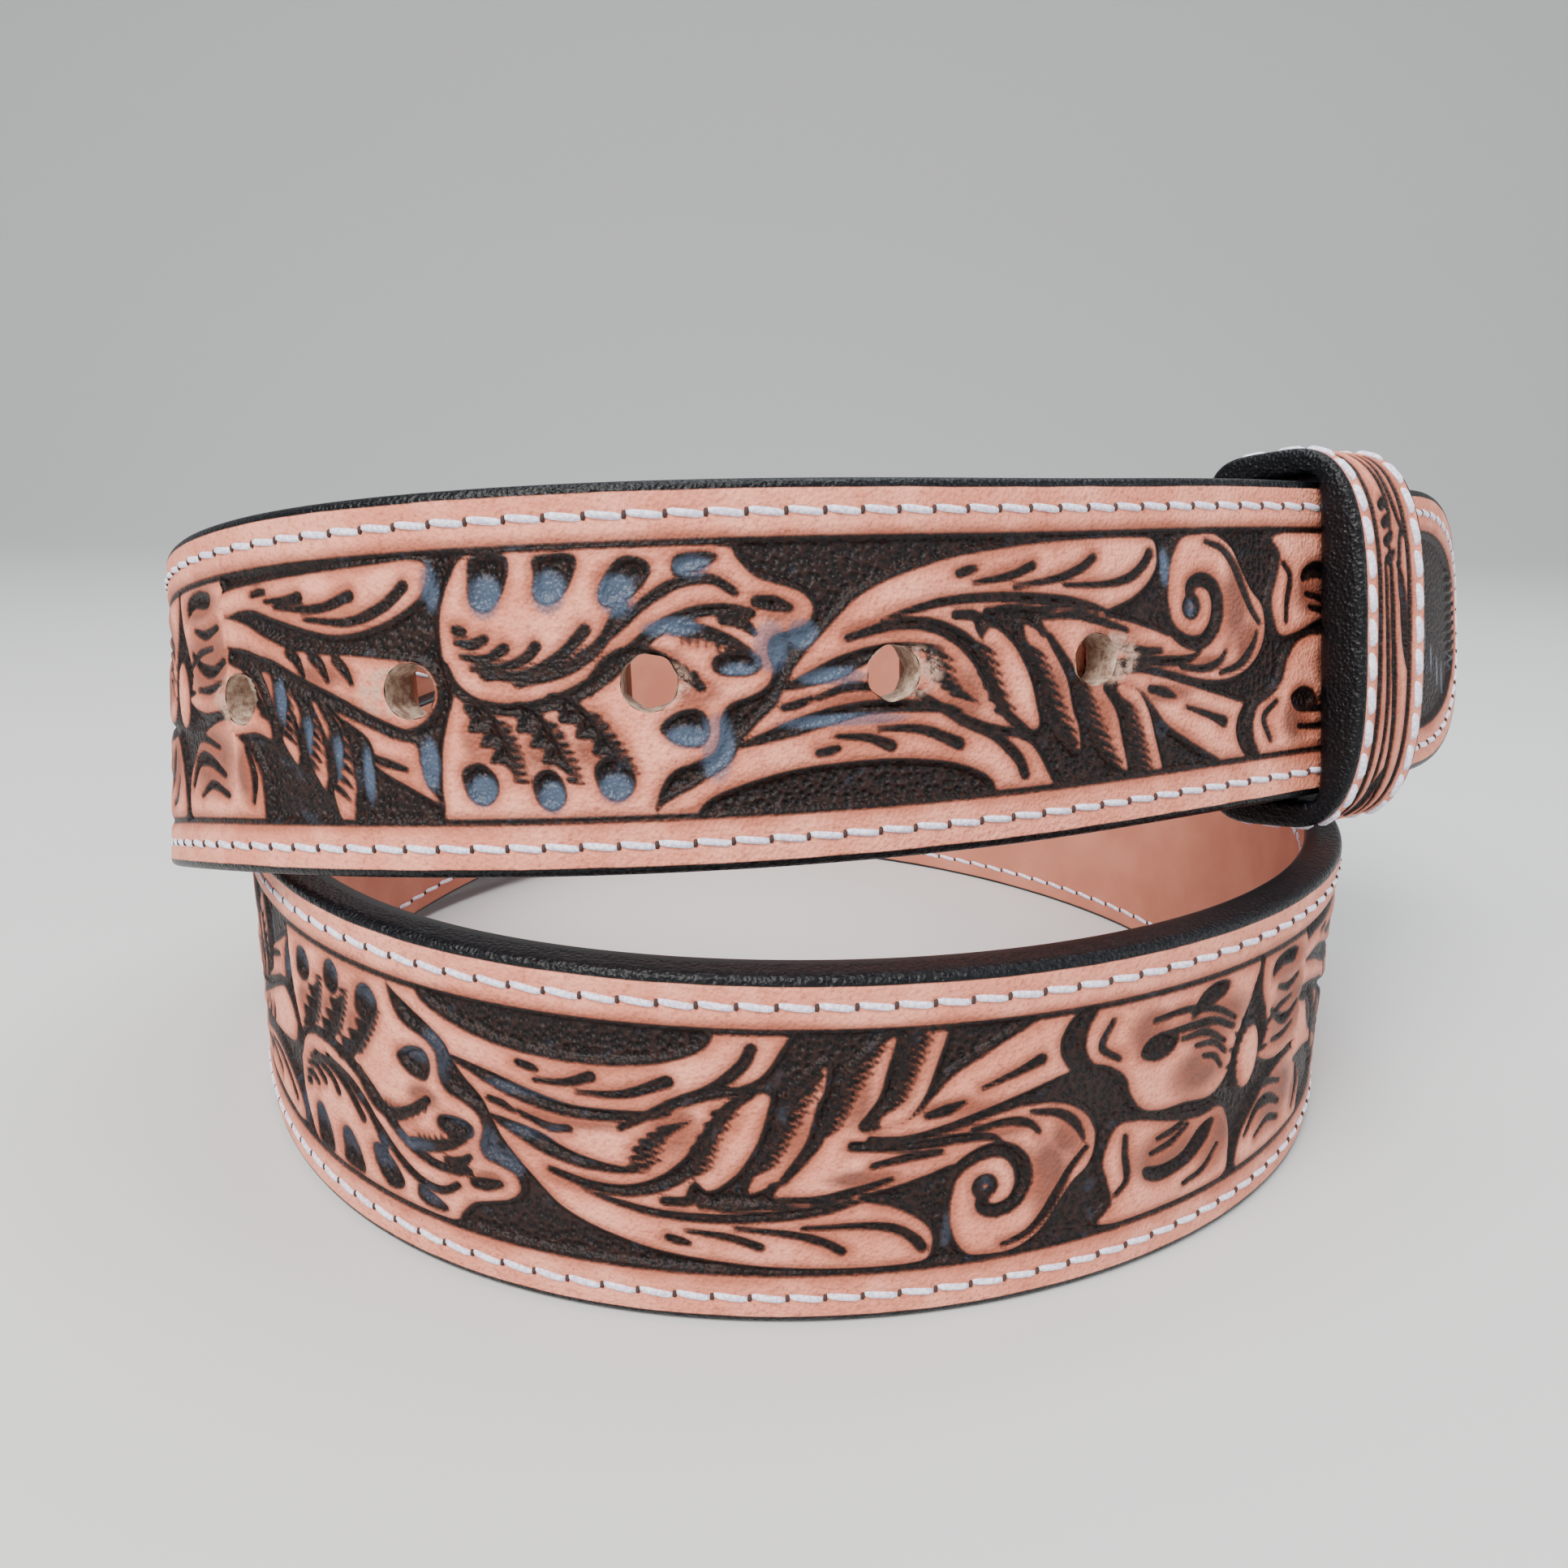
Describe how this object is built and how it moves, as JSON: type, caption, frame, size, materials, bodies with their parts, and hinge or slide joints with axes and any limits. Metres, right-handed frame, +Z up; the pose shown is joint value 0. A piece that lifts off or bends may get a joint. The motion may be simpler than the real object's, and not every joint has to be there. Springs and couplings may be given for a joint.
{
  "type": "belt strap",
  "caption": "Western tooled leather belt strap with a pointed, punched end pulled through a leather keeper loop, coiled into turns that stand on one edge.",
  "frame": {"origin": "bottom centre of the bounding box, on the floor that the coil stands on", "axes": "+X to the right as seen from the front, where the punched end crosses over the lower turn; +Y away from the viewer; +Z up"},
  "size_m": [0.1998, 0.1618, 0.0887],
  "materials": {
    "tooled_leather": "satin",
    "lining_leather": "matte",
    "keeper_leather": "satin"
  },
  "bodies": {
    "root": {"strap_face": "tooled_leather", "strap_lining": "lining_leather", "keeper": "keeper_leather"}
  },
  "joints": []
}
